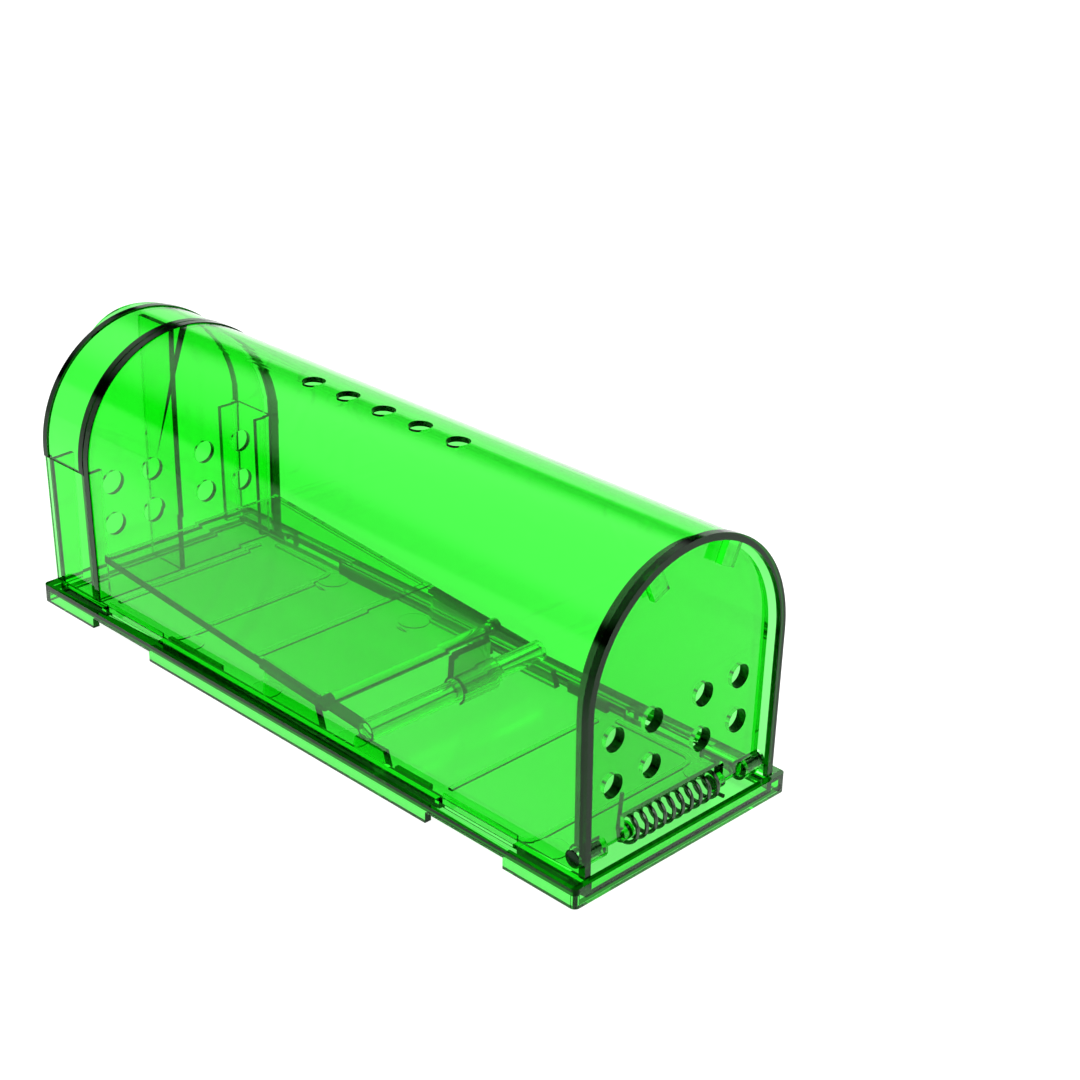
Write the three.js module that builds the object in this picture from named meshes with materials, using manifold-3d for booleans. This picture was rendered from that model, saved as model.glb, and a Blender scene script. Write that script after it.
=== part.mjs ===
// A live catch mouse trap: a clear tunnel cover clipped on a base tray, with a sprung door, a tipping
// treadle whose catch holds the open door down, and a lift-off bait hatch behind a perforated wall.
// Units are millimetres and +Z is up. The door faces -Y. Dimensions along Y are counted from the
// middle of the base, and at the end the whole trap is moved so that its origin is at the middle of
// its footprint, the hatch's finger lip included.
import * as THREE from 'three';
import { mergeVertices } from 'three/addons/utils/BufferGeometryUtils.js';
import Module from 'manifold-3d';

const wasm = await Module();
wasm.setup();

const GAP = 0.3; // clearance between pieces that touch
const WELD = 0.3; // how far features of one moulding run into each other
const PAST = 1; // how far a cutting solid runs past the faces it cuts
const SLIVER = 0.1; // the same, where a neighbour is close
const FAR = 80; // further out than any piece reaches
const MERGE = 1e-4; // points closer than this are one point
const ROUND = 48; // facets in a full circle of a large round
const FINE = 24; // facets in a full circle of a hole or a pin

// Base tray
const BASE = { length: 170, width: 60, height: 4.2, corner: 1.2, skin: 1.6 };
const FLOOR = { top: 2, under: 0.8 };
const TRAY = { halfWidth: 24.9, end: BASE.length / 2 - BASE.skin };
const BAND = { under: 2.8, riser: 1.4 };
const CLIP_WINDOWS = [[-66.3, -45], [44.2, 65.4]];
const WINDOW_TOP = 2.4;
const RIDGE = { width: 1, height: 0.6, reach: 20, side: 22.6, corner: 3, beyond: 3 };
const LOCATORS = { x: [23.6, 24.6], top: 4.5, spans: [[-41, -31], [25, 43.4]] };
const POST_X = [22.6, 24.1];
const REST_POST = { foot: [-28.4, -17.4], head: [-27, -18.4], top: 5.8 };
const WIDE_POST = { reach: 16.4, splay: 2, heel: 1 };
const EJECTOR_MARK = { radius: 3.6, height: 0.25, x: 20.4, ys: [-70, -14, 14, 42] };

// Tunnel cover and everything that shares its arch
const ARCH_Z = 37.1; // height of the arch's centre
const SHELL = { radius: 26.9, wall: 1.2, rim: 27.2, rimLength: 1.6, foot: 4.5, taper: 0.6 };
const COVER = { front: -84.1, back: 69 };
const AIR_HOLES = { radius: 2.5, pitch: 11, count: 5 };
const STOP_TAB = { angle: 25, width: 4, thickness: 1.5, inner: 20.8, setback: 0.2 };
const TONGUE = { x: [24.75, 25.85], foot: 1.2, barb: 0.9, root: 0.2, inset: 0.5 };
const SLOT_X = [24.6, 27.4];

// Door, its pins and its spring
const HINGE = { y: -80.7, z: 7.4 };
const DOOR = { radius: 24.8, half: 1.1, knuckle: 2.4, knuckleX: 19.5, notch: 14, notchTop: 4.2 };
const DOOR_HOLES = { radius: 2.5, xs: [7, 17.4], zs: [19.5, 29.2] };
const PIN = { radius: 1.6, inner: 20.9, outer: 26.4 };
const SPRING = {
  radius: 2.5, wire: 0.42, half: 13, turns: 10.25, boss: 1.7, bossLength: 2.4,
  leg: 8, bend: 3, tail: 2.6, tailLead: 0.3, inset: 0.2, perTurn: 12, endSteps: 12, wireSegments: 3,
};

// Treadle, in its own frame: u runs back along the plate and v runs up through it, from the pivot
const PIVOT = { y: 10.4, z: 9, tilt: THREE.MathUtils.degToRad(4.4) };
const PLATE = { front: -19, back: 56.6, half: 24.2, v: [1.17, 2.57], middle: 1.87 };
const EDGE_RIM = { width: 1, v: [0.97, 2.77] };
const FLANGE = { width: 1.2, u: [-16.4, 1.5], v: GAP };
const BEAD = { radius: 1.3, hub: 1.8, hubWidth: 2 };
const CROSS_BAR = { u: -32.2, outer: 2.35, bore: 1.9, rod: 1.6, inset: 0.4 };
const ARM = { width: 2, v: [1.1, 2.65] };
const STEP_RIDGE = { u: [1.6, 3.1], top: 2.95 };
const CATCH = {
  x: [0, 10], ring: 3.2, mouth: 1.7, nose: 3.9, noseV: [0.9, 3.1], noseBevel: [0.6, 0.8], brow: 2.2,
  browRise: 0.6, postU: [0.6, 2.3], postFoot: 1, postBevel: 0.8, top: 8,
};

// Bait end: uprights on the base, the perforated wall between them, and the hatch
const BAIT = { front: 69.4, back: 84.7, splitZ: 35 };
const UPRIGHT = { frontStrip: [69.4, 70.6], rearStrip: [82, 83.2], frontX: 21.5, rearX: 20.4 };
const INSERT = { radius: 25.2, y: [70.9, 72.1], foot: 2.3, divider: 0.7, dividerEnd: 83.2 };
const SCENT_HOLES = { radius: 2.7, xs: [7.3, 17.8], zs: [20.4, 30.4] };
const HATCH_WALL = { y: [83.5, 84.7], foot: 4.6 };
const LIP = { reach: 2.5, half: 13, thickness: 1.1 };

// ---- solids -----------------------------------------------------------------------------------

function solidOf(geometry) {
  const bare = geometry.clone();
  bare.deleteAttribute('normal');
  bare.deleteAttribute('uv');
  const merged = mergeVertices(bare, MERGE);
  return new wasm.Manifold(new wasm.Mesh({
    numProp: 3,
    vertProperties: new Float32Array(merged.attributes.position.array),
    triVerts: new Uint32Array(merged.index.array),
  }));
}

function geometryOf(solid) {
  const mesh = solid.getMesh();
  const geometry = new THREE.BufferGeometry();
  geometry.setAttribute('position', new THREE.BufferAttribute(new Float32Array(mesh.vertProperties), 3));
  geometry.setIndex(new THREE.BufferAttribute(new Uint32Array(mesh.triVerts), 1));
  geometry.computeVertexNormals();
  return geometry;
}

const join = (solids) => solids.reduce((all, one) => all.add(one));
const cut = (solid, tools) => tools.reduce((left, tool) => left.subtract(tool), solid);
const bothSides = (make) => [-1, 1].map(make);

function block([x0, x1], [y0, y1], [z0, z1]) {
  const box = new THREE.BoxGeometry(Math.abs(x1 - x0), y1 - y0, z1 - z0);
  return solidOf(box.translate((x0 + x1) / 2, (y0 + y1) / 2, (z0 + z1) / 2));
}

// A bar along X on the line through y and z.
function barX(radius, [x0, x1], y, z, facets = FINE) {
  const bar = new THREE.CylinderGeometry(radius, radius, Math.abs(x1 - x0), facets);
  return solidOf(bar.rotateZ(Math.PI / 2).translate((x0 + x1) / 2, y, z));
}

function barY(radius, x, [y0, y1], z) {
  const bar = new THREE.CylinderGeometry(radius, radius, y1 - y0, FINE);
  return solidOf(bar.translate(x, (y0 + y1) / 2, z));
}

function barZ(radius, x, y, [z0, z1]) {
  const bar = new THREE.CylinderGeometry(radius, radius, z1 - z0, FINE);
  return solidOf(bar.rotateX(Math.PI / 2).translate(x, y, (z0 + z1) / 2));
}

const extruded = (shape, depth) => new THREE.ExtrudeGeometry(shape, {
  depth, bevelEnabled: false, curveSegments: ROUND / 2,
});

// Outlines drawn in XZ, YZ and XY, each pushed along the remaining axis.
const prismY = (shape, [y0, y1]) => solidOf(extruded(shape, y1 - y0).rotateX(Math.PI / 2).translate(0, y1, 0));
const prismZ = (shape, [z0, z1]) => solidOf(extruded(shape, z1 - z0).translate(0, 0, z0));

function prismX(shape, [x0, x1]) {
  const axes = new THREE.Matrix4().makeBasis(
    new THREE.Vector3(0, 1, 0), new THREE.Vector3(0, 0, 1), new THREE.Vector3(1, 0, 0));
  return solidOf(extruded(shape, x1 - x0).applyMatrix4(axes).translate(x0, 0, 0));
}

const polygon = (points) => new THREE.Shape(points.map(([a, b]) => new THREE.Vector2(a, b)));

// The tunnel's outline: straight sides that draw in slightly towards the foot, and a round top.
function arch(radius, foot) {
  const lean = SHELL.taper * (ARCH_Z - foot) / (ARCH_Z - SHELL.foot);
  const shape = new THREE.Shape();
  shape.moveTo(radius - lean, foot);
  shape.lineTo(radius, ARCH_Z);
  shape.absarc(0, ARCH_Z, radius, 0, Math.PI, false);
  shape.lineTo(lean - radius, foot);
  return shape;
}

function archSleeve(radius, y, foot = SHELL.foot) {
  const inner = prismY(arch(SHELL.radius - SHELL.wall, foot - PAST), [y[0] - PAST, y[1] + PAST]);
  return prismY(arch(radius, foot), y).subtract(inner);
}

// ---- base tray --------------------------------------------------------------------------------

function roundedPlate() {
  const [a, b, r] = [BASE.width / 2, BASE.length / 2, BASE.corner];
  const shape = new THREE.Shape();
  shape.absarc(a - r, b - r, r, 0, Math.PI / 2, false);
  shape.absarc(r - a, b - r, r, Math.PI / 2, Math.PI, false);
  shape.absarc(r - a, r - b, r, Math.PI, 1.5 * Math.PI, false);
  shape.absarc(a - r, r - b, r, 1.5 * Math.PI, 2 * Math.PI, false);
  return prismZ(shape, [0, BASE.height]);
}

// Clip slot in the raised band, and the window under the skirt's edge beside it.
function clipOpening(side, window) {
  const slot = block(SLOT_X.map((x) => side * x), window, [FLOOR.under - PAST, BASE.height + PAST]);
  const skirt = [BASE.width / 2 - BASE.skin - SLIVER, BASE.width / 2 + PAST].map((x) => side * x);
  return slot.add(block(skirt, window, [-PAST, WINDOW_TOP]));
}

// Low stiffening ridges across the floor at each pair of clips: the near one turns a round corner
// into short side ridges, and the far one stands alone.
function floorRidges([near, far]) {
  const { width, height, reach, side, corner, beyond } = RIDGE;
  const z = [FLOOR.top - WELD, FLOOR.top + height];
  const bend = (grow) => {
    const shape = new THREE.Shape();
    const [x, r] = [side + grow, corner + grow];
    shape.moveTo(-x, far);
    shape.absarc(r - x, near - grow + r, r, Math.PI, 1.5 * Math.PI, false);
    shape.absarc(x - r, near - grow + r, r, 1.5 * Math.PI, 2 * Math.PI, false);
    shape.lineTo(x, far);
    return shape;
  };
  const inside = prismZ(bend(-width / 2), [z[0] - PAST, z[1] + PAST]);
  const frame = prismZ(bend(width / 2), z).subtract(inside);
  const lone = block([-reach, reach], [far + beyond - width / 2, far + beyond + width / 2], z);
  return [frame, lone];
}

// Plates that stand on the floor beside each wall: the front pair stops the cross-bar, and the wide
// pair carries the treadle, which rocks on the back corner of their sloping tops.
function posts(side) {
  const x = POST_X.map((value) => side * value).sort((a, b) => a - b);
  const foot = FLOOR.top - WELD;
  const { foot: [f0, f1], head: [h0, h1], top } = REST_POST;
  const rest = prismX(polygon([[f0, foot], [f1, foot], [h1, top], [h0, top]]), x);
  const { reach, splay, heel } = WIDE_POST;
  const front = PIVOT.y - reach;
  const drop = reach * Math.tan(PIVOT.tilt);
  const wide = prismX(polygon([
    [front - splay, foot], [PIVOT.y + heel, foot], [PIVOT.y, PIVOT.z], [front, PIVOT.z - drop],
  ]), x);
  return [rest, wide];
}

// Channel-shaped uprights that the perforated wall stands in and the hatch closes on.
function uprights() {
  const foot = BASE.height - WELD;
  const keep = block([-FAR, FAR], [BAIT.front - PAST, BASE.length / 2], [foot, BAIT.splitZ]);
  const wall = archSleeve(SHELL.radius, [BAIT.front, BAIT.back], foot);
  const strip = (y, x) => cut(prismY(arch(SHELL.radius - WELD, foot), y), [
    block([-x, x], [y[0] - PAST, y[1] + PAST], [0, FAR]),
  ]);
  const strips = [strip(UPRIGHT.frontStrip, UPRIGHT.frontX), strip(UPRIGHT.rearStrip, UPRIGHT.rearX)];
  return join([wall, ...strips]).intersect(keep);
}

function baseTray() {
  const inner = BASE.width / 2 - BASE.skin;
  const riser = TRAY.halfWidth + BAND.riser;
  const ends = [-TRAY.end, TRAY.end];
  const plate = cut(roundedPlate(), [
    block([-TRAY.halfWidth, TRAY.halfWidth], ends, [FLOOR.top, BASE.height + PAST]),
    block([-inner, inner], ends, [-PAST, FLOOR.under]),
    ...bothSides((side) => block([side * riser, side * inner], ends, [0, BAND.under])),
  ]);
  const marks = EJECTOR_MARK.ys.flatMap((y) => bothSides((side) => barZ(
    EJECTOR_MARK.radius, side * EJECTOR_MARK.x, y, [FLOOR.top - WELD, FLOOR.top + EJECTOR_MARK.height])));
  const locators = LOCATORS.spans.flatMap((span) => bothSides((side) => block(
    LOCATORS.x.map((x) => side * x), span, [FLOOR.top - WELD, LOCATORS.top])));
  const standing = [
    ...CLIP_WINDOWS.flatMap(floorRidges), ...marks, ...locators, ...bothSides(posts).flat(), uprights(),
  ];
  const openings = CLIP_WINDOWS.flatMap((window) => bothSides((side) => clipOpening(side, window)));
  return cut(join([plate, ...standing]), openings);
}

// ---- tunnel cover -----------------------------------------------------------------------------

function stopTab(side) {
  const { angle, width, thickness, inner, setback } = STOP_TAB;
  const outer = SHELL.radius - SHELL.wall + WELD;
  const tab = new THREE.BoxGeometry(width, thickness, outer - inner);
  tab.translate(0, COVER.front + setback + thickness / 2, (inner + outer) / 2);
  tab.rotateY(side * THREE.MathUtils.degToRad(angle));
  return solidOf(tab.translate(0, 0, ARCH_Z));
}

// A tongue that goes down through the base's slot, with a small barb along its foot.
function clipTongue(side, [near, far]) {
  const y = [near + TONGUE.inset, far - TONGUE.inset];
  const [x0, x1] = TONGUE.x;
  const tongue = block([side * x0, side * x1], y, [TONGUE.foot, SHELL.foot + 2 * WELD]);
  const barb = polygon([
    [side * (x1 - TONGUE.root), TONGUE.foot], [side * (x1 + TONGUE.barb), TONGUE.foot + TONGUE.barb],
    [side * (x1 - TONGUE.root), TONGUE.foot + 2 * TONGUE.barb],
  ]);
  return tongue.add(prismY(barb, y));
}

function tunnelCover() {
  const rimAt = (start) => archSleeve(SHELL.rim, [start, start + SHELL.rimLength]);
  const body = join([
    archSleeve(SHELL.radius, [COVER.front, COVER.back]),
    rimAt(COVER.front),
    rimAt(COVER.back - SHELL.rimLength),
    ...bothSides(stopTab),
    ...CLIP_WINDOWS.flatMap((window) => bothSides((side) => clipTongue(side, window))),
  ]);
  const first = -AIR_HOLES.pitch * (AIR_HOLES.count - 1) / 2;
  const airHoles = Array.from({ length: AIR_HOLES.count }, (_, i) => barZ(
    AIR_HOLES.radius, 0, first + i * AIR_HOLES.pitch, [ARCH_Z, FAR]));
  const pinHoles = barX(PIN.radius + GAP, [-FAR, FAR], HINGE.y, HINGE.z);
  return cut(body, [...airHoles, pinHoles]);
}

// ---- door -------------------------------------------------------------------------------------

const holesY = ({ radius, xs, zs }, y) => xs.flatMap((x) => zs.flatMap((z) => bothSides(
  (side) => barY(radius, side * x, y, z))));

function doorPanel() {
  const { radius, half, knuckle, knuckleX, notch, notchTop } = DOOR;
  const edge = radius - SHELL.taper * (ARCH_Z - HINGE.z) / (ARCH_Z - SHELL.foot);
  const thick = [HINGE.y - half, HINGE.y + half];
  const through = [thick[0] - PAST, thick[1] + PAST];
  const panel = cut(prismY(arch(radius, HINGE.z), thick), [
    block([-notch, notch], through, [0, HINGE.z + notchTop]),
    ...holesY(DOOR_HOLES, through),
  ]);
  const edges = bothSides((side) => barX(half, [side * notch, side * edge], HINGE.y, HINGE.z));
  const knuckles = bothSides((side) => barX(knuckle, [side * knuckleX, side * edge], HINGE.y, HINGE.z));
  const bosses = bothSides((side) => barX(
    SPRING.boss, [side * (notch - SPRING.bossLength), side * (notch + WELD)], HINGE.y, HINGE.z));
  const bores = bothSides((side) => barX(
    PIN.radius + GAP, [side * (PIN.inner - GAP), side * FAR], HINGE.y, HINGE.z));
  return cut(join([panel, ...edges, ...knuckles, ...bosses]), bores);
}

const hingePin = (side) => barX(PIN.radius, [side * PIN.inner, side * PIN.outer], HINGE.y, HINGE.z);

// A torsion spring between the door's bosses: one leg goes up the door's inner face, and the other
// points down in front, against the tray's border.
function doorSpring() {
  const { radius, wire, half, turns, leg, bend, tail, tailLead, inset, perTurn } = SPRING;
  const count = Math.round(turns * perTurn);
  const points = [
    new THREE.Vector3(-half, HINGE.y + DOOR.half + wire + GAP, HINGE.z + leg),
    new THREE.Vector3(-half, HINGE.y + radius - inset, HINGE.z + bend),
  ];
  for (let i = 0; i <= count; i += 1) {
    const turn = -2 * Math.PI * i / perTurn;
    const x = -half + 2 * half * i / count;
    points.push(new THREE.Vector3(x, HINGE.y + radius * Math.cos(turn), HINGE.z + radius * Math.sin(turn)));
  }
  points.push(new THREE.Vector3(half + tailLead, HINGE.y - radius + inset, HINGE.z - tail));
  const section = new THREE.Shape().absarc(0, 0, wire, 0, 2 * Math.PI, false);
  return new THREE.ExtrudeGeometry(section, {
    steps: count + SPRING.endSteps,
    curveSegments: SPRING.wireSegments,
    extrudePath: new THREE.CatmullRomCurve3(points),
    bevelEnabled: false,
  });
}

// ---- treadle ----------------------------------------------------------------------------------

function treadlePlate() {
  const { front, back, half, v, middle } = PLATE;
  const rim = (side) => block([side * (half - EDGE_RIM.width), side * half], [front, back], EDGE_RIM.v);
  const flange = (side) => block(
    [side * (half - FLANGE.width), side * half], FLANGE.u, [FLANGE.v, middle]);
  const arm = (side) => block([side * (half - ARM.width), side * half], [CROSS_BAR.u, front], ARM.v);
  const hub = (side) => barX(BEAD.hub, [side * (half - BEAD.hubWidth), side * half], front, middle);
  const body = join([
    block([-half, half], [front, back], v),
    block([-half, half], STEP_RIDGE.u, [v[1] - WELD, STEP_RIDGE.top]),
    ...[rim, flange, arm, hub].flatMap(bothSides),
    barX(BEAD.radius, [-half, half], front, middle),
    barX(CROSS_BAR.outer, [-half, half], CROSS_BAR.u, middle),
  ]);
  return body.subtract(barX(CROSS_BAR.bore, [-half - PAST, half + PAST], CROSS_BAR.u, middle));
}

function counterweightRod() {
  const reach = PLATE.half - CROSS_BAR.inset;
  return barX(CROSS_BAR.rod, [-reach, reach], CROSS_BAR.u, PLATE.middle);
}

// The catch snaps on the cross-bar: an open ring with a forward nose over the door's edge, and a
// finger that stands up behind it.
function catchHook() {
  const { x, ring, mouth, nose, noseV, noseBevel, brow, browRise, postU, postFoot, postBevel, top } = CATCH;
  const at = ([du, dv]) => [CROSS_BAR.u + du, PLATE.middle + dv];
  const beak = prismX(polygon([
    [0, noseV[0]], [noseBevel[0] - nose, noseV[0]], [-nose, noseV[0] + noseBevel[1]],
    [-brow, noseV[1]], [0, noseV[1] + browRise],
  ].map(at)), x);
  const finger = prismX(polygon([
    [postU[0], postFoot], [postU[1], postFoot], [postU[1], top - postBevel],
    [postU[1] - postBevel, top], [postU[0], top - postBevel],
  ].map(at)), x);
  const body = join([barX(ring, x, ...at([0, 0]), ROUND), beak, finger]);
  const wide = [x[0] - PAST, x[1] + PAST];
  const opening = block(wide, [CROSS_BAR.u - mouth, CROSS_BAR.u + mouth], [-FAR, PLATE.middle]);
  return cut(body, [barX(CROSS_BAR.outer + GAP, wide, ...at([0, 0]), ROUND), opening]);
}

// ---- bait end ---------------------------------------------------------------------------------

function scentWall() {
  const { radius, y, foot, divider, dividerEnd } = INSERT;
  const wall = prismY(arch(radius, foot), y);
  const crown = ARCH_Z + radius - GAP;
  const fin = block([-divider, divider], [y[1] - WELD, dividerEnd], [foot, crown]);
  return cut(wall.add(fin), holesY(SCENT_HOLES, [y[0] - PAST, y[1] + PAST]));
}

function baitHatch() {
  const { front, back, splitZ } = BAIT;
  const above = block([-FAR, FAR], [front - PAST, back + PAST], [splitZ + GAP, FAR]);
  const dome = join([
    archSleeve(SHELL.radius, [front, back]),
    archSleeve(SHELL.rim, [front, front + SHELL.rimLength]),
    archSleeve(SHELL.rim, [back - SHELL.rimLength, back]),
    prismY(arch(SHELL.radius - WELD, SHELL.foot), HATCH_WALL.y),
  ]).intersect(above);
  const wall = prismY(arch(INSERT.radius, HATCH_WALL.foot), HATCH_WALL.y);
  return join([dome, wall, fingerLip()]);
}

// A crescent that follows the dome and stands out behind it, widest at the top.
function fingerLip() {
  const end = BASE.length / 2 + LIP.reach;
  const bow = end - BAIT.back;
  const bowRadius = (LIP.half ** 2 + bow ** 2) / (2 * bow);
  const plan = new THREE.Shape();
  const spread = Math.asin(LIP.half / bowRadius);
  plan.absarc(0, end - bowRadius, bowRadius, Math.PI / 2 - spread, Math.PI / 2 + spread, false);
  plan.lineTo(-LIP.half, BAIT.back - WELD);
  plan.lineTo(LIP.half, BAIT.back - WELD);
  const span = [BAIT.back - PAST, end + PAST];
  const past = [span[0] - PAST, span[1] + PAST];
  const outer = prismY(arch(SHELL.radius, SHELL.foot), span);
  const inner = prismY(arch(SHELL.radius - LIP.thickness, SHELL.foot - PAST), past);
  return outer.subtract(inner).intersect(prismZ(plan, [ARCH_Z, FAR]));
}

// ---- scene ------------------------------------------------------------------------------------

const GREEN = { color: 0x4ee35a, roughness: 0.12, metalness: 0, transparent: true, opacity: 0.45 };
const STEEL = { color: 0x8c9089, roughness: 0.3, metalness: 1 };

function part(name, shape, finish) {
  const geometry = shape instanceof THREE.BufferGeometry ? shape : geometryOf(shape);
  const mesh = new THREE.Mesh(geometry, new THREE.MeshStandardMaterial(finish));
  mesh.name = name;
  return mesh;
}

const treadle = new THREE.Group();
treadle.add(
  part('treadle_plate', treadlePlate(), GREEN),
  part('counterweight_rod', counterweightRod(), STEEL),
  part('catch_hook', catchHook(), GREEN),
);
treadle.position.set(0, PIVOT.y, PIVOT.z);
treadle.rotation.x = PIVOT.tilt;

const trap = new THREE.Group();
trap.add(
  part('base_tray', baseTray(), GREEN),
  part('tunnel_cover', tunnelCover(), GREEN),
  part('door_panel', doorPanel(), GREEN),
  part('hinge_pin_left', hingePin(-1), STEEL),
  part('hinge_pin_right', hingePin(1), STEEL),
  part('door_spring', doorSpring(), STEEL),
  part('scent_wall', scentWall(), GREEN),
  part('bait_hatch', baitHatch(), GREEN),
  treadle,
);
trap.position.y = -LIP.reach / 2;

export default trap;
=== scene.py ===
import math

import bmesh
import bpy
from mathutils import Matrix, Vector
from mathutils.bvhtree import BVHTree


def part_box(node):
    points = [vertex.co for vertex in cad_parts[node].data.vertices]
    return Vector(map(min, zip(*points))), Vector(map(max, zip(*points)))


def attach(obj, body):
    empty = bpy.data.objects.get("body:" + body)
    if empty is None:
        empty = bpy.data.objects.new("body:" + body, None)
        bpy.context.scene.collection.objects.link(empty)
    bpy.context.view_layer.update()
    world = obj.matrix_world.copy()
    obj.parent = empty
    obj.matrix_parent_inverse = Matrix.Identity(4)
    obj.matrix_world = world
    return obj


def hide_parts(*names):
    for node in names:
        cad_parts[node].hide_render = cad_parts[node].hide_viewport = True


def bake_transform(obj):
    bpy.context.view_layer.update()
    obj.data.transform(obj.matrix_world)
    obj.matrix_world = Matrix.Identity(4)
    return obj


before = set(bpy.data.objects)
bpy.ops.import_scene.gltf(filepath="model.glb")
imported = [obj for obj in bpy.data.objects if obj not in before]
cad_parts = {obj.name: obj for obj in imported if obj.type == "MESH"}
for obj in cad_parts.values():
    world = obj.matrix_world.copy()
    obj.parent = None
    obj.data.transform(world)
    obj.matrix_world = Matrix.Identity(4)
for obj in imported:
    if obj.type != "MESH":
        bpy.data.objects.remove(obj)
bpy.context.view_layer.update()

# Lengths here are millimetres, in the tray's own frame: X across, Y along from the tray's middle, Z up.
# Each finished mesh is turned into metres and moved to the place that the frame gives for the tray.
MM = 0.001
TRAY_LOW, TRAY_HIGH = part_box("base_tray")
TO_FRAME = Matrix.Translation((0, (TRAY_LOW.y + TRAY_HIGH.y) / 2, 0)) @ Matrix.Scale(MM, 4)

WELD = 0.3  # how far features of one moulding run into each other
PAST = 1  # how far a cutting tool runs past what it cuts
SLIVER = 0.1  # the same where there is less room
ROUND = 160  # facets in a full circle of a large round
FINE = 40  # facets in a full circle of a hole or a pin
LIP_FACETS = 4 * ROUND  # facets in a full circle of the lip's shallow curve
WIRE_FACETS = 10  # facets around the spring's wire
BIG = 60  # a tool that reaches this far to both sides spans any piece
EDGE_DEPTH = 4  # a face is a wall's edge if there is more than this behind it
UNDER_FACE = 0.02  # how far under a face the search for that depth starts
PROUD = 0.05  # how far a face may be from where a feature starts and still be part of it
ON_CUT = 1e-4  # points this close to a cut are taken to lie on it
# Edges sharper than CHAMFER_ANGLE have a chamfer, in thousandths of a millimetre. It is far too fine to see.
MICRON = 0.001
PLASTIC_CHAMFER, DOOR_CHAMFER, STEEL_CHAMFER, WIRE_CHAMFER = 0.15, 0.2, 0.25, 0.02
CHAMFER_ANGLE, CHAMFER_STEPS = math.radians(35), 2
# Faces that meet at less than this are shaded as one, so that a clear pane stays flat up to its edge
PLASTIC_SMOOTH, STEEL_SMOOTH = math.radians(12), math.radians(50)

# Base tray
BASE_LENGTH, BASE_WIDTH, BASE_TOP, BASE_CORNER, SKIN = 170, 60, 4.2, 1.2, 1.6
FLOOR_TOP, FLOOR_UNDER = 2, 0.8
TRAY_HALF, TRAY_END = 24.9, BASE_LENGTH / 2 - SKIN
BAND_UNDER, BAND_RISER = 2.8, 1.4
CLIP_WINDOWS = ((-66.3, -45), (44.2, 65.4))
WINDOW_TOP = 2.4
RIDGE_WIDTH, RIDGE_TOP, RIDGE_REACH, RIDGE_SIDE, RIDGE_CORNER, RIDGE_BEYOND = 1, 2.6, 20, 22.6, 3, 3
LOCATOR_X, LOCATOR_TOP, LOCATOR_SPANS = (23.6, 24.6), 4.5, ((-41, -31), (25, 43.4))
# The wide post's top runs POST_TOP forwards from the pivot. Its foot stands out by POST_TOE and POST_HEEL.
POST_X, POST_TOP, POST_TOE, POST_HEEL = (22.6, 24.1), 16.4, 2, 1
REST_POST = ((-28.4, 1.7), (-17.4, 1.7), (-18.4, 5.8), (-27, 5.8))
MARK_RADIUS, MARK_HEIGHT, MARK_X, MARK_YS = 3.6, 0.25, 20.4, (-70, -14, 14, 42)

# Tunnel cover and everything that shares its arch
ARCH_Z = 37.1
SHELL, WALL, RIM, RIM_LENGTH, SHELL_FOOT, TAPER = 26.9, 1.2, 27.2, 1.6, 4.5, 0.6
COVER_FRONT, COVER_BACK = -84.1, 69
AIR_HOLE, AIR_PITCH, AIR_COUNT = 2.5, 11, 5
TAB_ANGLE, TAB_WIDTH, TAB_THICKNESS, TAB_INNER, TAB_SETBACK = 25, 4, 1.5, 20.8, 0.2
TONGUE_X, TONGUE_FOOT, BARB, BARB_ROOT, TONGUE_INSET = (24.75, 25.85), 1.2, 0.9, 0.2, 0.5
SLOT_X = (24.6, 27.4)

# Door, its pins and its spring
HINGE_Y, HINGE_Z = -80.7, 7.4
DOOR, DOOR_HALF, KNUCKLE, KNUCKLE_X, NOTCH, NOTCH_TOP = 24.8, 1.1, 2.4, 19.5, 14, 4.2
DOOR_HOLE, DOOR_HOLE_XS, DOOR_HOLE_ZS = 2.5, (7, 17.4), (19.5, 29.2)
PIN, PIN_GAP, PIN_INNER, PIN_OUTER = 1.6, 0.3, 20.9, 26.4
COIL, WIRE, COIL_HALF, TURNS, LEG, BOSS, BOSS_LENGTH = 2.5, 0.42, 13, 10.25, 8, 1.7, 2.4
TAIL_OUT, TAIL_BACK, TAIL_DROP = 0.3, 0.2, 2.6
TURN_STEPS, LEG_STEPS, TAIL_STEPS = 28, 8, 4

# Treadle, in its own frame: u runs back along the plate and v runs up through it, from the pivot
PIVOT_Y, PIVOT_Z, TILT = 10.4, 9, math.radians(4.4)
TREADLE_PLACE = Matrix.Translation((0, PIVOT_Y, PIVOT_Z)) @ Matrix.Rotation(TILT, 4, "X")
PLATE_FRONT, PLATE_BACK, PLATE_HALF, PLATE_V, PLATE_MIDDLE = -19, 56.6, 24.2, (1.17, 2.57), 1.87
EDGE_WIDTH, EDGE_V = 1, (0.97, 2.77)
FLANGE_WIDTH, FLANGE_U, FLANGE_V = 1.2, (-16.4, 1.5), 0.3
BEAD, HUB, HUB_WIDTH = 1.3, 1.8, 2
BAR_U, BAR, BAR_BORE, ROD, ROD_INSET = -32.2, 2.35, 1.9, 1.6, 0.4
ARM_WIDTH, ARM_V = 2, (1.1, 2.65)
STEP_U, STEP_TOP = (1.6, 3.1), 2.95
CATCH_X, CATCH_RING, CATCH_MOUTH, CATCH_NOSE, CATCH_TOP = (0, 10), 3.2, 1.7, 3.9, 8
NOSE_V, NOSE_CUT_U, NOSE_CUT_V, BROW_U, BROW_RISE = (0.9, 3.1), 0.6, 0.8, 2.2, 0.6
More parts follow.
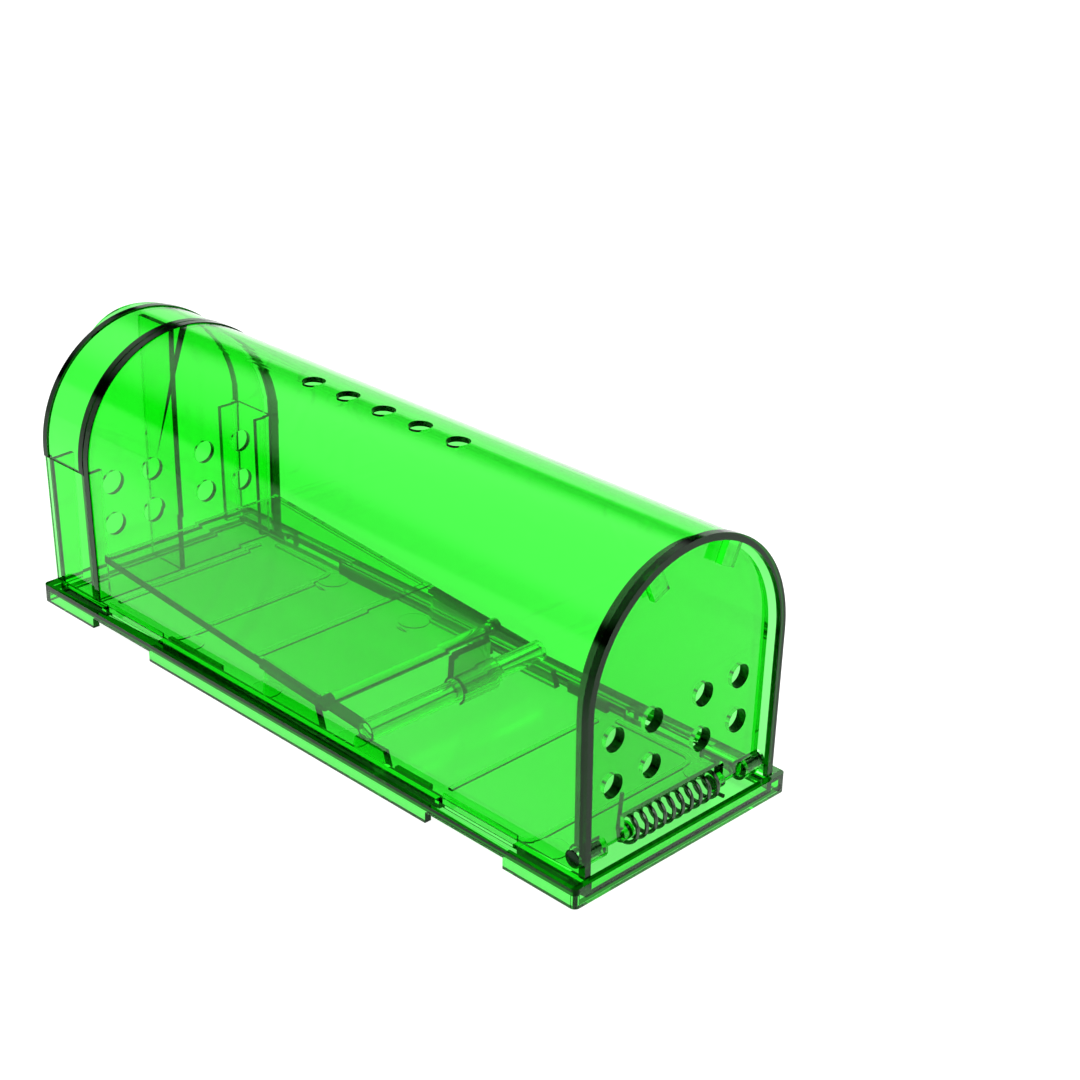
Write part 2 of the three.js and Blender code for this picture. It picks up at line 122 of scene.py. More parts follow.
FINGER_U, FINGER_FOOT, FINGER_CUT, MOUTH_LOW = (0.6, 2.3), 1, 0.8, -5

# Bait end
BAIT_FRONT, BAIT_BACK, SPLIT_Z, SPLIT_GAP = 69.4, 84.7, 35, 0.3
FRONT_STRIP, REAR_STRIP, STRIP_FRONT_X, STRIP_REAR_X = (69.4, 70.6), (82, 83.2), 21.5, 20.4
INSERT, INSERT_Y, INSERT_FOOT, DIVIDER, DIVIDER_END = 25.2, (70.9, 72.1), 2.3, 0.7, 83.2
SCENT_HOLE, SCENT_XS, SCENT_ZS = 2.7, (7.3, 17.8), (20.4, 30.4)
HATCH_WALL_Y, HATCH_FOOT = (83.5, 84.7), 4.6
LIP_REACH, LIP_HALF, LIP_THICKNESS = 2.5, 13, 1.1

# Plastics: how much red, green and blue a metre absorbs, the tint of reflections, and the painted shade of
# narrow edges (a dark tint and a dark tint of reflections)
IOR = 1.5
GREEN, DOOR_GREEN, OLIVE = (1150, 60, 1120), (1250, 130, 1220), (950, 400, 1150)
CLEAR, REFLECTION = (1, 1, 1), (0.4, 1, 0.4)
# Painted shade for narrow edges: a dark base tint and a dark reflection tint, in place of the darkening where
# light runs a long way inside a wall
GREEN_PAINTED_EDGE_SHADE = ((0.002, 0.09, 0.004), (0.02, 0.35, 0.03))
OLIVE_PAINTED_EDGE_SHADE = ((0.04, 0.1, 0.02), (0.1, 0.22, 0.06))
HEADROOM = 1.02  # the volume is this much denser than its most absorbed colour needs

# Steels: colour and the range of roughness
WIRE_COLOUR, PIN_COLOUR, ROD_COLOUR = (0.07, 0.11, 0.07), (0.012, 0.03, 0.014), (0.8, 0.82, 0.79)
BRUSHED, POLISHED = (0.18, 0.34), (0.04, 0.1)

# Noise: scale and detail. Bump: strength and distance in metres.
GLOSS_NOISE, GLOSS_RANGE = (90, 4), (0, 0.03)
WAVE_NOISE, WAVE_BUMP = (30, 2), (0.05, 0.0005)
GRAIN_NOISE, GRAIN_BUMP = (900, 3), (0.15, 0.0002)


# ---- mesh tools -------------------------------------------------------------------------------

def prism(outline, axis, span):
    """A solid whose outline lies across axis and runs over span along it."""
    place = {
        "x": lambda s, a, b: (s, a, b),
        "y": lambda s, a, b: (a, s, b),
        "z": lambda s, a, b: (a, b, s),
    }[axis]
    ends = sorted(span)
    count = len(outline)
    points = [place(s, a, b) for s in ends for a, b in outline]
    sides = [(i, (i + 1) % count, count + (i + 1) % count, count + i) for i in range(count)]
    mesh = bpy.data.meshes.new("prism")
    mesh.from_pydata(points, [], [tuple(range(count)), tuple(range(count, 2 * count)), *sides])
    return closed(mesh)


def closed(mesh):
    """An object for a closed mesh, with its faces turned out."""
    work = bmesh.new()
    work.from_mesh(mesh)
    bmesh.ops.recalc_face_normals(work, faces=work.faces)
    work.to_mesh(mesh)
    work.free()
    solid = bpy.data.objects.new(mesh.name, mesh)
    bpy.context.scene.collection.objects.link(solid)
    return solid


def block(x, y, z):
    return prism([(x[0], z[0]), (x[1], z[0]), (x[1], z[1]), (x[0], z[1])], "y", y)


def arc(radius, start, end, a=0, b=0, facets=ROUND):
    """Points along an arc about (a, b), with angles in degrees."""
    steps = max(2, round(abs(end - start) / 360 * facets))
    angles = [math.radians(start + (end - start) * i / steps) for i in range(steps + 1)]
    return [(a + radius * math.cos(t), b + radius * math.sin(t)) for t in angles]


def bar(radius, axis, span, a, b, facets=FINE):
    return prism(arc(radius, 0, 360, a, b, facets)[:-1], axis, span)


def baked(solid):
    """Takes the object's modifiers into its mesh."""
    graph = bpy.context.evaluated_depsgraph_get()
    mesh = bpy.data.meshes.new_from_object(solid.evaluated_get(graph))
    solid.modifiers.clear()
    solid.data = mesh
    return solid


def combine(solid, tools, operation):
    for tool in tools:
        step = solid.modifiers.new(operation, "BOOLEAN")
        step.operation = operation
        step.solver = "MANIFOLD"
        step.object = tool
    baked(solid)
    for tool in tools:
        bpy.data.objects.remove(tool)
    return solid


def join(solids):
    return combine(solids[0], solids[1:], "UNION")


def cut(solid, tools):
    return combine(solid, tools, "DIFFERENCE")


def common(solid, tool):
    return combine(solid, [tool], "INTERSECT")


def both(make):
    return [make(-1), make(1)]


def side(sign, pair):
    return sorted(sign * value for value in pair)


def arch(radius, foot):
    """The tunnel's outline: straight sides that draw in slightly towards the foot, and a round top."""
    lean = TAPER * (ARCH_Z - foot) / (ARCH_Z - SHELL_FOOT)
    return [(radius - lean, foot), *arc(radius, 0, 180, 0, ARCH_Z), (lean - radius, foot)]


def sleeve(radius, y, foot=SHELL_FOOT):
    outer, inner = arch(radius, foot), arch(SHELL - WALL, foot)
    return prism(outer + inner[::-1], "y", y)


# ---- base tray --------------------------------------------------------------------------------

def rounded_plate():
    a, b, r = BASE_WIDTH / 2, BASE_LENGTH / 2, BASE_CORNER
    corners = ((a - r, b - r, 0), (r - a, b - r, 90), (r - a, r - b, 180), (a - r, r - b, 270))
    outline = [p for x, y, turn in corners for p in arc(r, turn, turn + 90, x, y, FINE)]
    return prism(outline, "z", (0, BASE_TOP))


def clip_opening(sign, window):
    half = BASE_WIDTH / 2
    slot = block(side(sign, SLOT_X), window, (FLOOR_UNDER - PAST, BASE_TOP + PAST))
    skirt = block(side(sign, (half - SKIN - SLIVER, half + PAST)), window, (-PAST, WINDOW_TOP))
    return [slot, skirt]


def ridge_bend(grow, near, far):
    x, r = RIDGE_SIDE + grow, RIDGE_CORNER + grow
    foot = near - grow + r
    return [(-x, far), *arc(r, 180, 270, r - x, foot, FINE), *arc(r, 270, 360, x - r, foot, FINE), (x, far)]


def floor_ridges(window):
    near, far = window
    z = (FLOOR_TOP - WELD, RIDGE_TOP)
    half = RIDGE_WIDTH / 2
    outer = prism(ridge_bend(half, near, far), "z", z)
    inner = prism(ridge_bend(-half, near, far + PAST), "z", (z[0] - PAST, z[1] + PAST))
    frame_ridge = cut(outer, [inner])
    middle = far + RIDGE_BEYOND
    return [frame_ridge, block((-RIDGE_REACH, RIDGE_REACH), (middle - half, middle + half), z)]


def posts(sign):
    foot = FLOOR_TOP - WELD
    front = PIVOT_Y - POST_TOP
    drop = (PIVOT_Y - front) * math.tan(TILT)
    wide = ((front - POST_TOE, foot), (PIVOT_Y + POST_HEEL, foot),
            (PIVOT_Y, PIVOT_Z), (front, PIVOT_Z - drop))
    return [prism(outline, "x", side(sign, POST_X)) for outline in (REST_POST, wide)]


def uprights():
    foot = BASE_TOP - WELD
    keep = block((-BIG, BIG), (BAIT_FRONT - PAST, BASE_LENGTH / 2), (foot, SPLIT_Z))
    wall = sleeve(SHELL, (BAIT_FRONT, BAIT_BACK), foot)
    strips = []
    for y, x in ((FRONT_STRIP, STRIP_FRONT_X), (REAR_STRIP, STRIP_REAR_X)):
        whole = prism(arch(SHELL - WELD, foot), "y", y)
        strips.append(cut(whole, [block((-x, x), (y[0] - PAST, y[1] + PAST), (0, 2 * BIG))]))
    return common(join([wall, *strips]), keep)


def base_tray():
    inner = BASE_WIDTH / 2 - SKIN
    riser = TRAY_HALF + BAND_RISER
    ends = (-TRAY_END, TRAY_END)
    plate = cut(rounded_plate(), [
        block((-TRAY_HALF, TRAY_HALF), ends, (FLOOR_TOP, BASE_TOP + PAST)),
        block((-inner, inner), ends, (-PAST, FLOOR_UNDER)),
        *both(lambda s: block(side(s, (riser, inner)), ends, (0, BAND_UNDER))),
    ])
    standing = [ridge for window in CLIP_WINDOWS for ridge in floor_ridges(window)]
    for y in MARK_YS:
        z = (FLOOR_TOP - WELD, FLOOR_TOP + MARK_HEIGHT)
        standing += both(lambda s, y=y, z=z: bar(MARK_RADIUS, "z", z, s * MARK_X, y))
    for span in LOCATOR_SPANS:
        z = (FLOOR_TOP - WELD, LOCATOR_TOP)
        standing += both(lambda s, span=span, z=z: block(side(s, LOCATOR_X), span, z))
    standing += posts(-1) + posts(1) + [uprights()]
    openings = [o for window in CLIP_WINDOWS for s in (-1, 1) for o in clip_opening(s, window)]
    return cut(join([plate, *standing]), openings)


# ---- tunnel cover -----------------------------------------------------------------------------

def turned(solid, matrix):
    solid.data.transform(matrix)
    return solid


def stop_tab(sign):
    outer = SHELL - WALL + WELD
    y = COVER_FRONT + TAB_SETBACK
    tab = block((-TAB_WIDTH / 2, TAB_WIDTH / 2), (y, y + TAB_THICKNESS), (TAB_INNER, outer))
    turn = Matrix.Rotation(math.radians(sign * TAB_ANGLE), 4, "Y")
    return turned(tab, Matrix.Translation((0, 0, ARCH_Z)) @ turn)


def clip_tongue(sign, window):
    y = (window[0] + TONGUE_INSET, window[1] - TONGUE_INSET)
    tongue = block(side(sign, TONGUE_X), y, (TONGUE_FOOT, SHELL_FOOT + 2 * WELD))
    root, tip = sign * (TONGUE_X[1] - BARB_ROOT), sign * (TONGUE_X[1] + BARB)
    outline = ((root, TONGUE_FOOT), (tip, TONGUE_FOOT + BARB), (root, TONGUE_FOOT + 2 * BARB))
    return [tongue, prism(outline, "y", y)]


def tunnel_cover():
    tongues = [t for window in CLIP_WINDOWS for s in (-1, 1) for t in clip_tongue(s, window)]
    body = join([
        sleeve(SHELL, (COVER_FRONT, COVER_BACK)),
        sleeve(RIM, (COVER_FRONT, COVER_FRONT + RIM_LENGTH)),
        sleeve(RIM, (COVER_BACK - RIM_LENGTH, COVER_BACK)),
        *both(stop_tab),
        *tongues,
    ])
    first = -AIR_PITCH * (AIR_COUNT - 1) / 2
    air = [bar(AIR_HOLE, "z", (ARCH_Z, 2 * BIG), 0, first + i * AIR_PITCH) for i in range(AIR_COUNT)]
    return cut(body, [*air, bar(PIN + PIN_GAP, "x", (-BIG, BIG), HINGE_Y, HINGE_Z)])


# ---- door -------------------------------------------------------------------------------------

def panel_holes(radius, xs, zs, y):
    span = (y[0] - PAST, y[1] + PAST)
    return [bar(radius, "y", span, s * x, z) for x in xs for z in zs for s in (-1, 1)]


def door_panel():
    y = (HINGE_Y - DOOR_HALF, HINGE_Y + DOOR_HALF)
    edge = DOOR - TAPER * (ARCH_Z - HINGE_Z) / (ARCH_Z - SHELL_FOOT)
    panel = cut(prism(arch(DOOR, HINGE_Z), "y", y), [
        block((-NOTCH, NOTCH), (y[0] - PAST, y[1] + PAST), (0, HINGE_Z + NOTCH_TOP)),
        *panel_holes(DOOR_HOLE, DOOR_HOLE_XS, DOOR_HOLE_ZS, y),
    ])
    rounds = []
    for radius, start, end in ((DOOR_HALF, NOTCH, edge), (KNUCKLE, KNUCKLE_X, edge),
                               (BOSS, NOTCH - BOSS_LENGTH, NOTCH + WELD)):
        for s in (-1, 1):
            rounds.append(bar(radius, "x", side(s, (start, end)), HINGE_Y, HINGE_Z))
    bores = both(lambda s: bar(PIN + PIN_GAP, "x", side(s, (PIN_INNER - PIN_GAP, BIG)), HINGE_Y, HINGE_Z))
    return cut(join([panel, *rounds]), bores)


def hinge_pin(sign):
    return bar(PIN, "x", side(sign, (PIN_INNER, PIN_OUTER)), HINGE_Y, HINGE_Z)


def tube(points, radius, facets=WIRE_FACETS):
    """A closed tube of wire along the points."""
    work = bmesh.new()
    rings = []
    across = Vector((1, 0, 0))
    for i, point in enumerate(points):
        along = (points[min(i + 1, len(points) - 1)] - points[max(i - 1, 0)]).normalized()
        across = (across - along * across.dot(along)).normalized()
        other = along.cross(across)
        turns = [2 * math.pi * k / facets for k in range(facets)]
        rings.append([work.verts.new(point + radius * (math.cos(t) * across + math.sin(t) * other))
                      for t in turns])
    for low, high in zip(rings, rings[1:]):
        for k in range(facets):
            n = (k + 1) % facets
            work.faces.new((low[k], low[n], high[n], high[k]))
    work.faces.new(rings[0][::-1])
    work.faces.new(rings[-1])
    mesh = bpy.data.meshes.new("tube")
    work.to_mesh(mesh)
    work.free()
    return closed(mesh)


def door_spring():
    """One leg goes up the door's inner face, and the other points down in front of the coil."""
    count = round(TURNS * TURN_STEPS)
    leg_y = HINGE_Y + DOOR_HALF + WIRE + PIN_GAP
    leg_top = Vector((-COIL_HALF, leg_y, HINGE_Z + LEG))
    coil = []
    for i in range(count + 1):
        t = -2 * math.pi * i / TURN_STEPS
        x = -COIL_HALF + 2 * COIL_HALF * i / count
        coil.append(Vector((x, HINGE_Y + COIL * math.cos(t), HINGE_Z + COIL * math.sin(t))))
    leg = [leg_top.lerp(coil[0], i / LEG_STEPS) for i in range(LEG_STEPS)]
    foot = Vector((COIL_HALF + TAIL_OUT, HINGE_Y - COIL + TAIL_BACK, HINGE_Z - TAIL_DROP))
    tail = [coil[-1].lerp(foot, i / TAIL_STEPS) for i in range(1, TAIL_STEPS + 1)]
    return tube(leg + coil + tail, WIRE)


# ---- treadle ----------------------------------------------------------------------------------

def treadle_plate():
    half, u = PLATE_HALF, (PLATE_FRONT, PLATE_BACK)
    pieces = [
        block((-half, half), u, PLATE_V),
        block((-half, half), STEP_U, (PLATE_V[1] - WELD, STEP_TOP)),
        bar(BEAD, "x", (-half, half), PLATE_FRONT, PLATE_MIDDLE),
        bar(BAR, "x", (-half, half), BAR_U, PLATE_MIDDLE),
    ]
    for s in (-1, 1):
        pieces.append(block(side(s, (half - EDGE_WIDTH, half)), u, EDGE_V))
        pieces.append(block(side(s, (half - FLANGE_WIDTH, half)), FLANGE_U, (FLANGE_V, PLATE_MIDDLE)))
        pieces.append(block(side(s, (half - ARM_WIDTH, half)), (BAR_U, PLATE_FRONT), ARM_V))
        pieces.append(bar(HUB, "x", side(s, (half - HUB_WIDTH, half)), PLATE_FRONT, PLATE_MIDDLE))
    return cut(join(pieces), [bar(BAR_BORE, "x", (-half - PAST, half + PAST), BAR_U, PLATE_MIDDLE)])


def counterweight_rod():
    reach = PLATE_HALF - ROD_INSET
    return bar(ROD, "x", (-reach, reach), BAR_U, PLATE_MIDDLE)


def catch_outline(points):
    return [(BAR_U + du, PLATE_MIDDLE + dv) for du, dv in points]


def catch_hook():
    under, over = NOSE_V
    beak = catch_outline([(0, under), (NOSE_CUT_U - CATCH_NOSE, under), (-CATCH_NOSE, under + NOSE_CUT_V),
                          (-BROW_U, over), (0, over + BROW_RISE)])
    near, far = FINGER_U
    shoulder = CATCH_TOP - FINGER_CUT
    finger = catch_outline([(near, FINGER_FOOT), (far, FINGER_FOOT), (far, shoulder),
                            (far - FINGER_CUT, CATCH_TOP), (near, shoulder)])
    body = join([
        bar(CATCH_RING, "x", CATCH_X, BAR_U, PLATE_MIDDLE),
        prism(beak, "x", CATCH_X),
        prism(finger, "x", CATCH_X),
    ])
    wide = (CATCH_X[0] - PAST, CATCH_X[1] + PAST)
    return cut(body, [
        bar(BAR + PIN_GAP, "x", wide, BAR_U, PLATE_MIDDLE),
        block(wide, (BAR_U - CATCH_MOUTH, BAR_U + CATCH_MOUTH), (MOUTH_LOW, PLATE_MIDDLE)),
    ])


# ---- bait end ---------------------------------------------------------------------------------

def scent_wall():
    wall = prism(arch(INSERT, INSERT_FOOT), "y", INSERT_Y)
    crown = ARCH_Z + INSERT - PIN_GAP
    fin = block((-DIVIDER, DIVIDER), (INSERT_Y[1] - WELD, DIVIDER_END), (INSERT_FOOT, crown))
    return cut(join([wall, fin]), panel_holes(SCENT_HOLE, SCENT_XS, SCENT_ZS, INSERT_Y))


def finger_lip():
    """A crescent that follows the dome and stands out behind it, widest at the top."""
    end = BASE_LENGTH / 2 + LIP_REACH
    bow = end - BAIT_BACK
    radius = (LIP_HALF ** 2 + bow ** 2) / (2 * bow)
    spread = math.degrees(math.asin(LIP_HALF / radius))
    plan = [*arc(radius, 90 - spread, 90 + spread, 0, end - radius, LIP_FACETS),
            (-LIP_HALF, BAIT_BACK - WELD), (LIP_HALF, BAIT_BACK - WELD)]
    outer = prism(arch(SHELL, SHELL_FOOT), "y", (BAIT_BACK - PAST, end + PAST))
    inner = arch(SHELL - LIP_THICKNESS, SHELL_FOOT - PAST)
    shell = cut(outer, [prism(inner, "y", (BAIT_BACK - 2 * PAST, end + 2 * PAST))])
    return common(shell, prism(plan, "z", (ARCH_Z, 2 * BIG)))


def bait_hatch():
    above = block((-BIG, BIG), (BAIT_FRONT - PAST, BAIT_BACK + PAST), (SPLIT_Z + SPLIT_GAP, 2 * BIG))
    dome = common(join([
        sleeve(SHELL, (BAIT_FRONT, BAIT_BACK)),
        sleeve(RIM, (BAIT_FRONT, BAIT_FRONT + RIM_LENGTH)),
        sleeve(RIM, (BAIT_BACK - RIM_LENGTH, BAIT_BACK)),
        prism(arch(SHELL - WELD, SHELL_FOOT), "y", HATCH_WALL_Y),
    ]), above)
    return join([dome, prism(arch(INSERT, HATCH_FOOT), "y", HATCH_WALL_Y), finger_lip()])


# ---- materials --------------------------------------------------------------------------------

def new_material(name):
    material = bpy.data.materials.new(name)
    material.use_nodes = True
    nodes = material.node_tree.nodes
    return material, nodes, material.node_tree.links, nodes["Principled BSDF"]


def add_noise(nodes, links, scale, detail):
    place = nodes.new("ShaderNodeTexCoord")
    noise = nodes.new("ShaderNodeTexNoise")
    noise.inputs["Scale"].default_value = scale
    noise.inputs["Detail"].default_value = detail
    links.new(place.outputs["Object"], noise.inputs["Vector"])
    return noise.outputs["Fac"]


def add_range(nodes, links, source, low, high):
    spread = nodes.new("ShaderNodeMapRange")
    spread.inputs["To Min"].default_value = low
    spread.inputs["To Max"].default_value = high
    links.new(source, spread.inputs["Value"])
    return spread.outputs["Result"]


def add_bump(nodes, links, height, strength, distance, target):
    bump = nodes.new("ShaderNodeBump")
    bump.inputs["Strength"].default_value = strength
    bump.inputs["Distance"].default_value = distance
    links.new(height, bump.inputs["Height"])
    links.new(bump.outputs["Normal"], target)


def clear_plastic(name, taken, tint=CLEAR, sheen=REFLECTION):
    """Clear coloured polystyrene. taken is how much red, green and blue a metre of it absorbs. sheen tints
    its reflections.
    On narrow edges a dark tint and a dark sheen are painted shade, in place of the darkening where light has
    come a long way along inside the wall."""
    material, nodes, links, surface = new_material(name)
    surface.inputs["Base Color"].default_value = (*tint, 1)
    surface.inputs["Specular Tint"].default_value = (*sheen, 1)
    surface.inputs["Transmission Weight"].default_value = 1
    surface.inputs["IOR"].default_value = IOR
    gloss = add_noise(nodes, links, *GLOSS_NOISE)
    links.new(add_range(nodes, links, gloss, *GLOSS_RANGE), surface.inputs["Roughness"])
    add_bump(nodes, links, add_noise(nodes, links, *WAVE_NOISE), *WAVE_BUMP, surface.inputs["Normal"])
    density = max(taken) * HEADROOM
    volume = nodes.new("ShaderNodeVolumeAbsorption")
    volume.inputs["Density"].default_value = density
    volume.inputs["Color"].default_value = (*[1 - t / density for t in taken], 1)
    links.new(volume.outputs["Volume"], nodes["Material Output"].inputs["Volume"])
    return material


def steel(name, colour, roughness=BRUSHED):
    material, nodes, links, surface = new_material(name)
    surface.inputs["Base Color"].default_value = (*colour, 1)
    surface.inputs["Metallic"].default_value = 1
    grain = add_noise(nodes, links, *GRAIN_NOISE)
    links.new(add_range(nodes, links, grain, *roughness), surface.inputs["Roughness"])
    add_bump(nodes, links, grain, *GRAIN_BUMP, surface.inputs["Normal"])
    return material


# ---- pieces -----------------------------------------------------------------------------------

def on_rim(point):
    """True outside the arched shell, on its rims and barbs."""
    if point.z > ARCH_Z:
        reach = math.hypot(point.x, point.z - ARCH_Z)
    else:
        reach = abs(point.x) + TAPER * (ARCH_Z - point.z) / (ARCH_Z - SHELL_FOOT)
    return reach > SHELL + PROUD


def on_locator(point):
    """True on the low plates that stand beside the tray's side walls."""
    across = LOCATOR_X[0] - PROUD < abs(point.x) < LOCATOR_X[1] + PROUD
    return across and point.z > FLOOR_TOP + PROUD and any(
        start - PROUD < point.y < end + PROUD for start, end in LOCATOR_SPANS)


def on_arm(point):
    """True on the treadle's two arms and on the flanges under its sides."""
    _, u, v = TREADLE_PLACE.inverted() @ point
    arm = abs(point.x) > PLATE_HALF - ARM_WIDTH - PROUD and BAR_U + BAR < u < PLATE_FRONT
    flange = FLANGE_U[0] - PROUD < u < FLANGE_U[1] + PROUD and v < PLATE_V[0] - PROUD
    return arm or flange


# Narrow parts that get the painted edge shade as well as the wall edges
SHADE_PAINTED_PARTS = {"tunnel_cover": on_rim, "bait_hatch": on_rim, "base_tray": on_locator, "treadle_plate": on_arm}


def paint_edge_shade(mesh, gets_painted_shade):
    """Gives the second material, which is painted shade, to the faces that look into a wall along its length,
    and to a narrow part that shows as dark as an edge does."""
    work = bmesh.new()
    work.from_mesh(mesh)
    tree = BVHTree.FromBMesh(work)
    for face in mesh.polygons:
        start = face.center - face.normal * UNDER_FACE
        _, _, _, depth = tree.ray_cast(start, -face.normal)
        deep = depth is not None and depth > EDGE_DEPTH
        face.material_index = int(deep or gets_painted_shade(face.center))
    work.free()


def split_at(solid, heights):
    """Cuts faces across at these heights, so that each part can have its own material."""
    work = bmesh.new()
    work.from_mesh(solid.data)
    for z in heights:
        everything = work.verts[:] + work.edges[:] + work.faces[:]
        bmesh.ops.bisect_plane(work, geom=everything, plane_co=(0, 0, z), plane_no=(0, 0, 1), dist=ON_CUT)
    work.to_mesh(solid.data)
    work.free()
    return solid


def finished(solid, name, node, body, slot, materials, chamfer=PLASTIC_CHAMFER):
    """Chamfers and shades the solid, puts it in the frame and makes it stand for its CAD node. A solid with
    no body of its own is left for the caller to place."""
    solid.name = name
    smooth = STEEL_SMOOTH if slot == "steel" else PLASTIC_SMOOTH
    edges = solid.modifiers.new("edges", "BEVEL")
    edges.width = chamfer * MICRON
    edges.segments = CHAMFER_STEPS
    edges.limit_method = "ANGLE"
    edges.angle_limit = CHAMFER_ANGLE
    edges.use_clamp_overlap = False
    baked(solid).data.shade_smooth()
    solid.data.set_sharp_from_angle(angle=smooth)
    solid.modifiers.new("triangles", "TRIANGULATE").keep_custom_normals = True
    baked(solid)
    solid.data.name = name
    solid.data.materials.clear()
    for one in materials:
        solid.data.materials.append(one)
    # Edge faces and dark parts get the second material, which is painted shade
    if len(materials) > 1:
        paint_edge_shade(solid.data, SHADE_PAINTED_PARTS.get(node, lambda point: False))
    solid.data.transform(TO_FRAME)
    if body:
        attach(solid, body)
    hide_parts(node)
    return solid


def in_treadle(solid):
    return turned(solid, TREADLE_PLACE)


def build_trap():
    # The second material of each plastic is painted shade for narrow edges and dark parts
    green = [clear_plastic("clear_green_plastic", GREEN),
             clear_plastic("clear_green_painted_edge_shade", GREEN, *GREEN_PAINTED_EDGE_SHADE)]
    deep = [clear_plastic("clear_green_door", DOOR_GREEN),
            clear_plastic("clear_green_door_painted_edge_shade", DOOR_GREEN, *GREEN_PAINTED_EDGE_SHADE)]
    olive = [clear_plastic("olive_plastic", OLIVE),
             clear_plastic("olive_painted_edge_shade", OLIVE, *OLIVE_PAINTED_EDGE_SHADE)]
    wire = [steel("spring_steel", WIRE_COLOUR)]
    dark = [steel("dark_steel", PIN_COLOUR)]
    polished = [steel("polished_steel", ROD_COLOUR, POLISHED)]
    tray = split_at(base_tray(), (FLOOR_UNDER, FLOOR_TOP, BAND_UNDER))
    finished(tray, "tray", "base_tray", "tray", "tray_plastic", green)
    finished(scent_wall(), "perforated_wall", "scent_wall", "tray", "hatch_plastic", green)
    finished(tunnel_cover(), "cover", "tunnel_cover", "cover", "cover_plastic", green)
    finished(door_panel(), "door", "door_panel", "door", "door_plastic", deep, DOOR_CHAMFER)
    finished(hinge_pin(-1), "pin_left", "hinge_pin_left", "door", "steel", dark, STEEL_CHAMFER)
    finished(hinge_pin(1), "pin_right", "hinge_pin_right", "door", "steel", dark, STEEL_CHAMFER)
    finished(in_treadle(treadle_plate()), "treadle", "treadle_plate", "treadle", "treadle_plastic", green)
    rod = in_treadle(counterweight_rod())
    finished(rod, "rod", "counterweight_rod", "treadle", "steel", polished, STEEL_CHAMFER)
    finished(in_treadle(catch_hook()), "catch", "catch_hook", "treadle", "catch_plastic", olive)
    finished(bait_hatch(), "hatch", "bait_hatch", "hatch", "hatch_plastic", green)
    spring = finished(door_spring(), "spring", "door_spring", None, "steel", wire, WIRE_CHAMFER)
    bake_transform(spring)


# ---- setting ----------------------------------------------------------------------------------

# The room is pale near the horizon, has a dark band above that, and a big soft light overhead. Each pair is
# the sine of a height and how bright the room is there.
WORLD_RAMP, WORLD_STRENGTH = ((0.3, 0.85), (0.38, 0.02), (0.48, 0.02), (0.66, 1)), 1.15

# The floor's size and how far it lies below the trap, in metres, and its tone, roughness and glow
FLOOR_SIZE, FLOOR_DROP = 60, 0.0002
FLOOR_TONE, FLOOR_ROUGHNESS, FLOOR_GLOW = (0.35, 0.35, 0.35), 0.9, 0.95

# Each light's place and size in metres, and its power in watts
LIGHTS = {"key": ((-0.5, -0.35, 0.9), (0.6, 0.6), 3), "fill": ((0.7, 0.2, 0.6), (0.5, 0.5), 1.5)}

# The camera's azimuth, elevation and roll in degrees, its distance and how far it is moved to the right and
# up in millimetres, and its lens
VIEW, DISTANCE, SLIDE, LENS = (-45.69, 25.14, 1.31), 457.7, (32.82, 31.65), 71.13

# How many walls light may pass through or bounce off
BOUNCES = {"max_bounces": 40, "transmission_bounces": 40, "glossy_bounces": 24, "transparent_max_bounces": 24}


def make_floor():
    bpy.ops.mesh.primitive_plane_add(size=FLOOR_SIZE, location=(0, 0, -FLOOR_DROP))
    floor = bpy.context.object
    floor.name = "floor"
    material, _, _, surface = new_material("pale_floor")
    surface.inputs["Base Color"].default_value = (*FLOOR_TONE, 1)
    surface.inputs["Roughness"].default_value = FLOOR_ROUGHNESS
    surface.inputs["Emission Color"].default_value = (1, 1, 1, 1)
    surface.inputs["Emission Strength"].default_value = FLOOR_GLOW
    floor.data.materials.append(material)


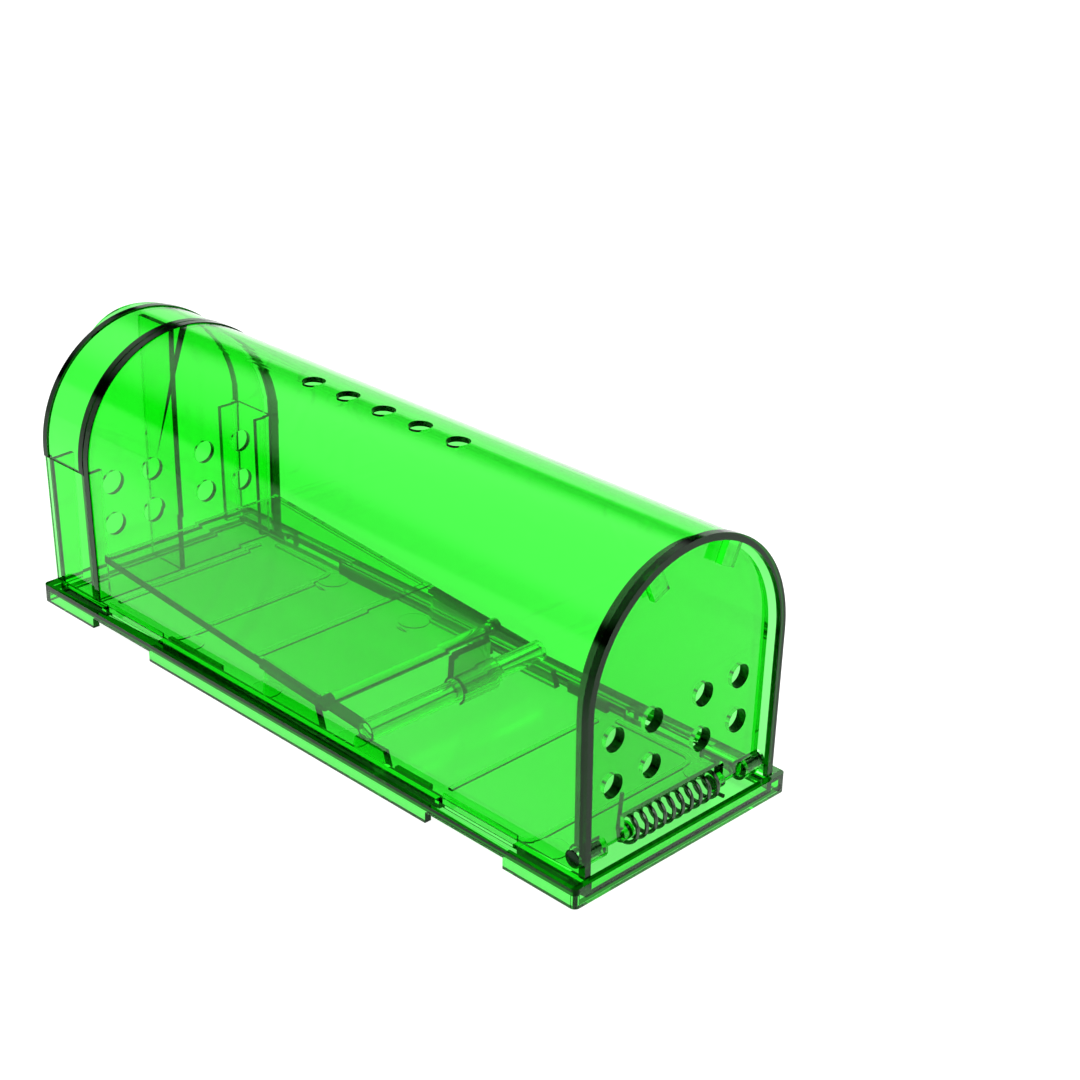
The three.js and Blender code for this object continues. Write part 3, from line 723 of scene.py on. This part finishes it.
def make_world():
    world = bpy.data.worlds.new("studio")
    world.use_nodes = True
    nodes, links = world.node_tree.nodes, world.node_tree.links
    place = nodes.new("ShaderNodeTexCoord")
    parts = nodes.new("ShaderNodeSeparateXYZ")
    ramp = nodes.new("ShaderNodeValToRGB")
    ramp.color_ramp.interpolation = "EASE"
    stops = ramp.color_ramp.elements
    while len(stops) < len(WORLD_RAMP):
        stops.new(1)
    for stop, (height, light) in zip(stops, WORLD_RAMP):
        stop.position = height
        stop.color = (light, light, light, 1)
    links.new(place.outputs["Generated"], parts.inputs["Vector"])
    links.new(parts.outputs["Z"], ramp.inputs["Fac"])
    links.new(ramp.outputs["Color"], nodes["Background"].inputs["Color"])
    nodes["Background"].inputs["Strength"].default_value = WORLD_STRENGTH
    bpy.context.scene.world = world


def make_light(name, location, size, power):
    data = bpy.data.lights.new(name, "AREA")
    data.shape = "RECTANGLE"
    data.size, data.size_y = size
    data.energy = power
    light = bpy.data.objects.new(name, data)
    light.location = location
    light.rotation_euler = (-Vector(location)).to_track_quat("-Z", "Y").to_euler()
    bpy.context.scene.collection.objects.link(light)


def make_camera():
    """Looks along the view's direction, from a place that is moved sideways and up from where it would look
    straight at the tray's middle."""
    azimuth, elevation, roll = (math.radians(d) for d in VIEW)
    back = Vector((math.sin(azimuth) * math.cos(elevation), -math.cos(azimuth) * math.cos(elevation),
                   math.sin(elevation)))
    right = (-back).cross(Vector((0, 0, 1))).normalized()
    up = right.cross(-back)
    across = math.cos(roll) * right + math.sin(roll) * up
    upward = math.cos(roll) * up - math.sin(roll) * right
    place = TO_FRAME @ (back * DISTANCE + across * SLIDE[0] + upward * SLIDE[1])
    data = bpy.data.cameras.new("camera")
    data.lens = LENS
    camera = bpy.data.objects.new("camera", data)
    camera.matrix_world = Matrix.Translation(place) @ Matrix((across, upward, back)).transposed().to_4x4()
    bpy.context.scene.collection.objects.link(camera)
    bpy.context.scene.camera = camera


def set_look():
    scene = bpy.context.scene
    scene.view_settings.view_transform = "Standard"
    for kind, most in BOUNCES.items():
        setattr(scene.cycles, kind, most)


make_camera()
make_world()
for light_name, light in LIGHTS.items():
    make_light(light_name, *light)
make_floor()
build_trap()
set_look()
